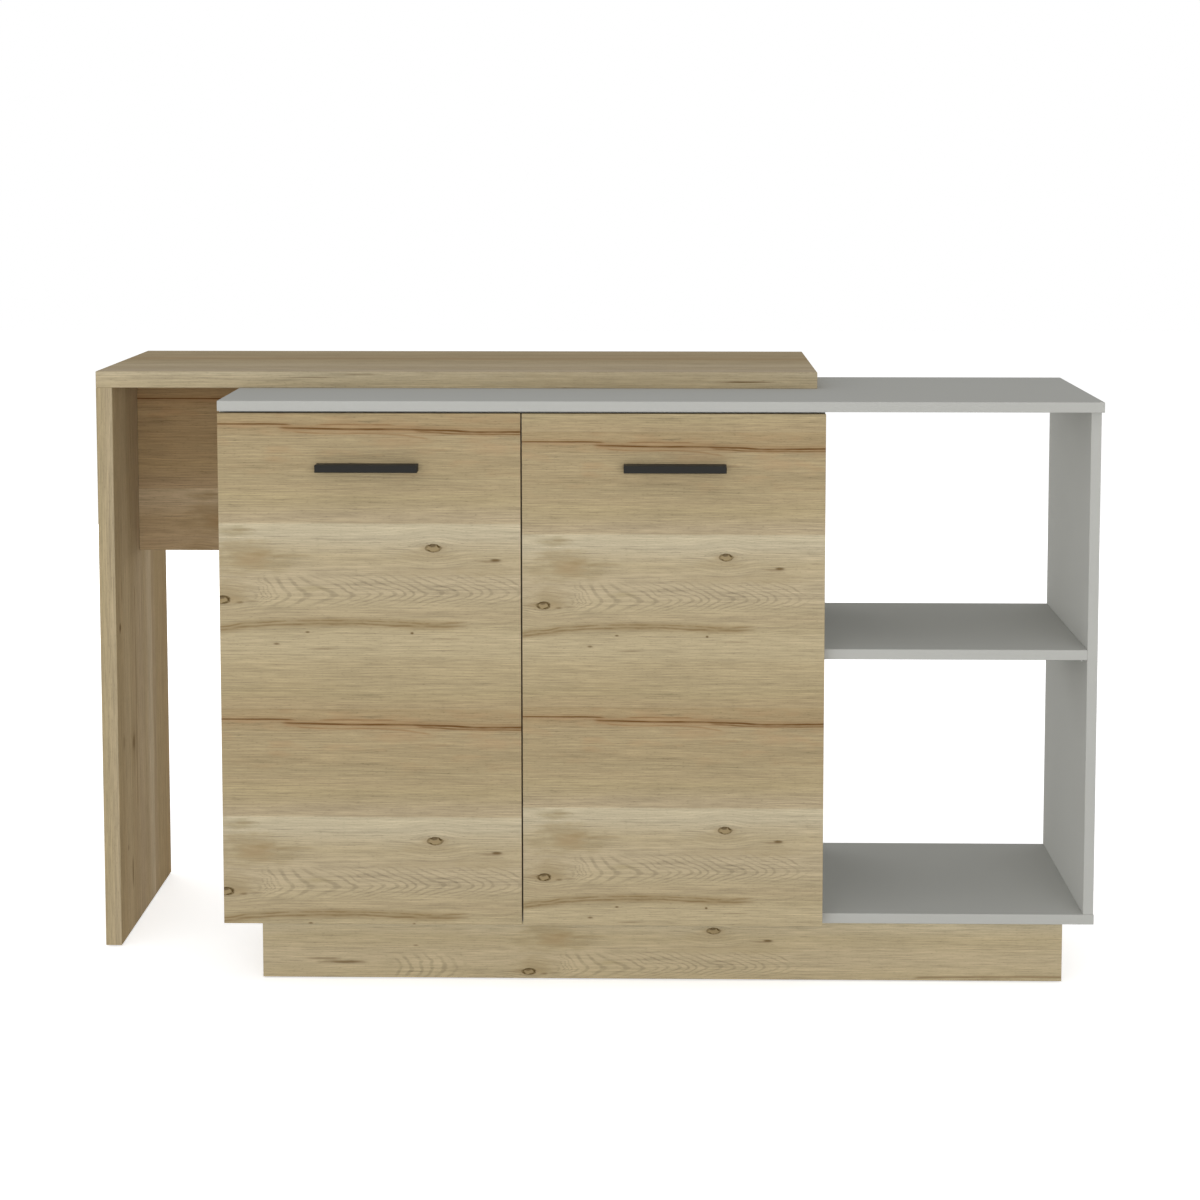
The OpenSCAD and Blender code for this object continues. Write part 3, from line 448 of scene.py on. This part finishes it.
def place_on_faces(g, plane, grain, sheet, edge, end):
    """Sheet place (u, w) of a point on a board, and whether it is on a broad face. sheet, edge
    and end are for its broad faces, its long edges and its ends: the frame's places in mm where
    u and w are 0, and their scales, negative where u or w runs the other way."""
    coords = g.node("ShaderNodeTexCoord")
    at = g.split(coords.outputs["Object"])
    normal = g.split(coords.outputs["Normal"])
    axes = {"x": 0, "y": 1, "z": 2}
    flat = ({"x", "y", "z"} - set(plane)).pop()
    across = (set(plane) - {grain}).pop()

    def pair(along, over, place):
        parts = []
        for axis, zero, scale in ((along, place[0], place[2]), (over, place[1], place[3])):
            parts.append(g.mul(g.sub(g.mul(at[axes[axis]], MM), zero), 1 / scale))
        return g.vector(*parts)

    def faces(axis):
        return g.math("GREATER_THAN", g.math("ABSOLUTE", normal[axes[axis]]), FACING)

    def choose(axis, other, this):
        n = g.node("ShaderNodeMix", data_type="VECTOR")
        for index, value in ((0, faces(axis)), (4, other), (5, this)):
            g.put(n.inputs[index], value)
        return n.outputs[1]

    place = choose(across, pair(grain, across, sheet), pair(grain, flat, edge))
    return choose(grain, place, pair(across, flat, end)), faces(flat)


def shader(name):
    """A new material: itself, its graph, its shader and the object's coordinates."""
    m = bpy.data.materials.new(name)
    m.use_nodes = True
    tree = m.node_tree
    g = Graph(tree)
    at = g.node("ShaderNodeTexCoord").outputs["Object"]
    return m, g, tree.nodes["Principled BSDF"], at


def cover(g, bsdf, colour, height, rough, specular, relief):
    """Sets a colour, a roughness (low, high) and a relief (strength, depth in metres), both of
    which follow height, and an even specular level."""
    g.put(bsdf.inputs["Base Color"], colour)
    g.put(bsdf.inputs["Roughness"], g.ramp(height, 0.3, 0.7, *rough))
    bsdf.inputs["Specular IOR Level"].default_value = specular
    n = g.node("ShaderNodeBump")
    n.inputs["Strength"].default_value, n.inputs["Distance"].default_value = relief
    g.put(n.inputs["Height"], height)
    g.put(bsdf.inputs["Normal"], n.outputs[0])


def oak(name, plane, grain, sheet, edge, end, tint=None):
    """Board with the oak print. tint changes its broad faces alone."""
    m, g, bsdf, _ = shader(name)
    n = g.node("ShaderNodeGroup")
    n.node_tree = OAK
    place, broad = place_on_faces(g, plane, grain, sheet, edge, end)
    g.put(n.inputs[0], place)
    colour, height = n.outputs
    # tint multiplies the broad faces alone; on the apron, leg and plinth it is painted light
    if tint:
        colour = g.mix(broad, colour, (*tint, 1.0), "MULTIPLY")
    cover(g, bsdf, colour, height, (0.62, 0.52), BOARD_SPECULAR, (0.2, 0.0003))
    return m


def melamine(name, colour, rough=0.55, speck=0.02):
    """Plain coloured board with the faint dimpled texture of melamine."""
    m, g, bsdf, at = shader(name)
    fine = g.noise(at, 900.0, 3.0, 0.6)
    cloud = g.noise(at, 9.0, 2.0)
    gain = g.add(g.add(1.0, g.swing(fine, speck)), g.swing(cloud, speck))
    cover(g, bsdf, g.shade(colour, gain), fine, (rough - 0.05, rough + 0.05),
          BOARD_SPECULAR, (0.15, 0.0002))
    return m


def metal(name, colour, rough, metallic=1.0, brushed=60.0, specular=0.5):
    """Metal or paint with a faint directional variation of its gloss."""
    m, g, bsdf, at = shader(name)
    x, y, z = g.split(at)
    streak = g.vector(g.mul(x, brushed), g.mul(y, brushed), g.mul(z, 1400.0))
    streak = g.noise(streak, 1.0, 2.0)
    gain = g.add(1.0, g.swing(streak, 0.10))
    bsdf.inputs["Metallic"].default_value = metallic
    cover(g, bsdf, g.shade(colour, gain), streak, (rough - 0.05, rough + 0.06), specular,
          (0.12, 0.0001))
    return m


def plastic(name, colour, rough=0.45, specular=0.4):
    """Moulded plastic or rubber with a very fine texture."""
    m, g, bsdf, at = shader(name)
    fine = g.noise(at, 1600.0, 2.0)
    gain = g.add(1.0, g.swing(fine, 0.05))
    cover(g, bsdf, g.shade(colour, gain), fine, (rough - 0.05, rough + 0.05), specular,
          (0.1, 0.0001))
    return m


# ---- materials on the CAD nodes -------------------------------------------------------------
def dress(material, *names):
    for name in names:
        for slot in nodes[name].material_slots:
            slot.link = "OBJECT"
            slot.material = material


dress(melamine("grey_melamine_look", srgb(181, 181, 176)), "top_panel", "bottom_panel",
      "left_side_panel", "partition_panel", "right_side_panel", "bay_shelf", "cupboard_shelf",
      "front_rail")
dress(melamine("hardboard_look", srgb(188, 188, 183), 0.6, 0.04), "back_panel")

# Where each board lies on the print, as place_on_faces reads it. The left door has the print
# from its own top left corner. The right door and the plinth show the same stretch again,
# shifted and a little smaller.
LEFT_PRINT = (-530.0, 857.0, 1, -1)
RIGHT_PRINT = (-61.6, 830.8, 0.86, -0.93)
PLINTH_PRINT = (-87.3495, 238.7367, 0.895, -0.829)
PLINTH_END_PRINT = (-700, 160, 1, -1)
TABLE_PRINT = (-2600, -309, 1, 1)
TABLE_EDGE_PRINT = (-2640, 1090, 1, -1)
TABLE_END_PRINT = (-3000, 1090, 1, -1)
LEG_PRINT = (-460, 324, 1, -1)
LEG_EDGE_PRINT = (-1760, -880, 1, 1)
APRON_PRINT = (-640, 856, 1, -1)
CALM = (-3000, -320, 1, 1)  # a stretch without knots, for edges and ends
dress(oak("oak_left_door", "xz", "x", LEFT_PRINT, CALM, CALM), "left_door")
dress(oak("oak_right_door", "xz", "x", RIGHT_PRINT, CALM, CALM), "right_door")
# The plinth's broad faces are painted lighter, as painted light against the shade under the cabinet
dress(oak("oak_plinth", "xz", "x", PLINTH_PRINT, CALM, CALM, PLINTH_PAINTED_LIGHT),
      "plinth_front", "plinth_back")
dress(oak("oak_plinth_ends", "yz", "y", PLINTH_END_PRINT, CALM, CALM),
      "plinth_left_end", "plinth_right_end", "plinth_brace")
dress(oak("oak_tabletop", "xy", "x", TABLE_PRINT, TABLE_EDGE_PRINT, TABLE_END_PRINT,
          TABLE_TINT), "tabletop")
# The leg's broad faces carry painted warm bounce light from the apron
dress(oak("oak_leg", "yz", "z", LEG_PRINT, LEG_EDGE_PRINT, CALM, LEG_PAINTED_LIGHT), "leg_panel")
# The apron's broad faces carry painted warm bounce light, lighter and redder than the print
dress(oak("oak_apron", "xz", "x", APRON_PRINT, CALM, CALM, APRON_PAINTED_LIGHT), "apron_panel")

dress(melamine("beech_look", srgb(196, 160, 112), 0.6, 0.12), "dowels")
dress(metal("black_coat_look", srgb(40, 39, 36), 0.5, 0.0, 30.0, 0.12),
      "left_handle", "right_handle")
dress(metal("nickel_look", srgb(196, 196, 192), 0.28), "hinge_plates", "hinge_arms",
      "hinge_arm_screws", "hinge_pins", "left_hinge_cups", "right_hinge_cups", "cam_bolts",
      "shelf_pins", "angle_brackets")
dress(metal("zinc_screw_look", srgb(200, 192, 168), 0.35), "plinth_block_screws",
      "table_screws", "bracket_screws", "confirmat_screws", "hinge_plate_screws",
      "left_handle_screws", "left_cup_screws", "right_handle_screws", "right_cup_screws")
dress(metal("cast_zinc_look", srgb(176, 176, 178), 0.45), "cam_housings")
dress(plastic("grey_plastic_look", srgb(192, 192, 187)), "cam_caps", "plinth_blocks")
dress(plastic("dark_plastic_look", srgb(38, 38, 38)), "plinth_glides", "leg_glides")
dress(plastic("clear_bumper_look", srgb(214, 214, 208), 0.3), "left_door_bumpers",
      "right_door_bumpers")


# ---- camera ---------------------------------------------------------------------------------
cam_data = bpy.data.cameras.new("camera")
cam = bpy.data.objects.new("camera", cam_data)
bpy.context.scene.collection.objects.link(cam)
cam.location = CAM_PLACE
cam.rotation_euler = (math.radians(90 + CAM_PITCH), 0.0, math.radians(CAM_YAW))
cam_data.sensor_width = CAM_SENSOR
cam_data.sensor_fit = "HORIZONTAL"
cam_data.lens = CAM_LENS
cam_data.shift_x, cam_data.shift_y = CAM_SHIFT
cam_data.clip_start, cam_data.clip_end = CAM_CLIP
bpy.context.scene.camera = cam


# ---- floor and light ------------------------------------------------------------------------
def floor():
    """A plain pale floor, which shows the object's shadow."""
    corners = [(-1, -1), (1, -1), (1, 1), (-1, 1)]
    mesh = bpy.data.meshes.new("floor")
    mesh.from_pydata(
        [(FLOOR_HALF * x, FLOOR_HALF * y, 0.0) for x, y in corners], [], [(0, 1, 2, 3)]
    )
    o = bpy.data.objects.new("floor", mesh)
    bpy.context.scene.collection.objects.link(o)
    m, g, bsdf, _ = shader("floor_look")
    bsdf.inputs["Base Color"].default_value = (FLOOR_GREY, FLOOR_GREY, FLOOR_GREY, 1.0)
    bsdf.inputs["Roughness"].default_value = 0.9
    bsdf.inputs["Specular IOR Level"].default_value = 0.0
    path = g.node("ShaderNodeLightPath")
    glow = g.node("ShaderNodeEmission")
    g.put(glow.inputs["Strength"], g.mul(path.outputs["Is Camera Ray"], FLOOR_GLOW))
    total = g.node("ShaderNodeAddShader")
    g.put(total.inputs[0], bsdf.outputs[0])
    g.put(total.inputs[1], glow.outputs[0])
    out = m.node_tree.nodes["Material Output"]
    g.put(out.inputs["Surface"], total.outputs[0])
    mesh.materials.append(m)


def lamp(name, place, power):
    data = bpy.data.lights.new(name, "AREA")
    data.shape = "RECTANGLE"
    data.size, data.size_y = LAMP_SIZE
    data.energy = power
    o = bpy.data.objects.new(name, data)
    bpy.context.scene.collection.objects.link(o)
    o.location = place
    away = Vector(LAMP_AIM) - Vector(place)
    o.rotation_euler = away.to_track_quat("-Z", "Y").to_euler()


floor()
for lamp_name, (lamp_place, lamp_power) in LAMPS.items():
    lamp("lamp_" + lamp_name, lamp_place, lamp_power)

world = bpy.data.worlds.new("studio")
bpy.context.scene.world = world
world.use_nodes = True
sky = Graph(world.node_tree)
backdrop = world.node_tree.nodes["Background"]
rays = sky.node("ShaderNodeLightPath").outputs
seen = sky.math("MAXIMUM", rays["Is Glossy Ray"], rays["Is Transmission Ray"])
seen = sky.math("MAXIMUM", rays["Is Camera Ray"], seen)
sky.put(backdrop.inputs["Strength"], sky.add(AMBIENT, sky.mul(seen, 1.0 - AMBIENT)))
backdrop.inputs["Color"].default_value = (1.0, 1.0, 1.0, 1.0)

bpy.context.scene.view_settings.view_transform = "Standard"
